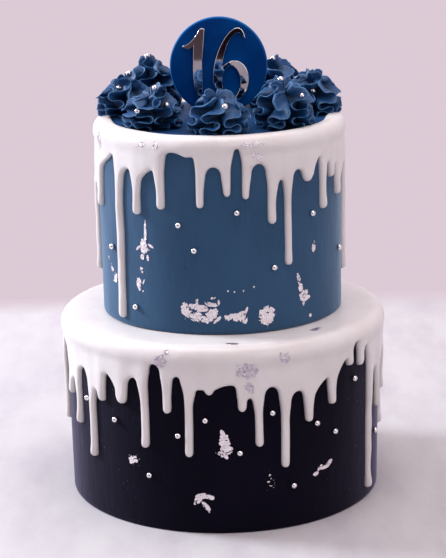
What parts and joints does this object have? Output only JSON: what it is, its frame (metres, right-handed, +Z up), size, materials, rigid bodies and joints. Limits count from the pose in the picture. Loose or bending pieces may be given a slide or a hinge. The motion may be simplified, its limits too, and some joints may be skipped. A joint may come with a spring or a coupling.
{
  "type": "drip cake",
  "caption": "Tiered round cake with pale ganache dripping over each rim, piped icing swirls, silver pearls and leaf, and an upright disc topper with numerals.",
  "frame": {"origin": "centre of the lower tier's flat underside, where the cake stands", "axes": "+Z up along the tiers' common axis; -Y is the front, which the topper's numerals face; +X is to the right seen from the front"},
  "size_m": [0.2216, 0.2216, 0.3181],
  "materials": {
    "navy_icing": "smooth buttercream, near-black navy, satin",
    "slate_icing": "smooth buttercream, slate blue, satin",
    "ganache": "set pale ganache, soft sheen",
    "piped_icing": "piped buttercream, deep blue, satin",
    "topper_blue": "smooth royal navy disc, satin",
    "mirror_silver": "polished silver, also for pearls and leaf"
  },
  "bodies": {
    "root": {"lower_tier": "navy_icing", "lower_ganache": "ganache", "upper_tier": "slate_icing", "upper_ganache": "ganache", "swirl_front": "piped_icing", "swirl_front_left": "piped_icing", "swirl_left": "piped_icing", "swirl_back_left": "piped_icing", "swirl_back": "piped_icing", "swirl_back_right": "piped_icing", "swirl_right": "piped_icing", "swirl_front_right": "piped_icing", "topper_disc": "topper_blue", "topper_numeral_one": "mirror_silver", "topper_numeral_six": "mirror_silver"}
  },
  "joints": []
}
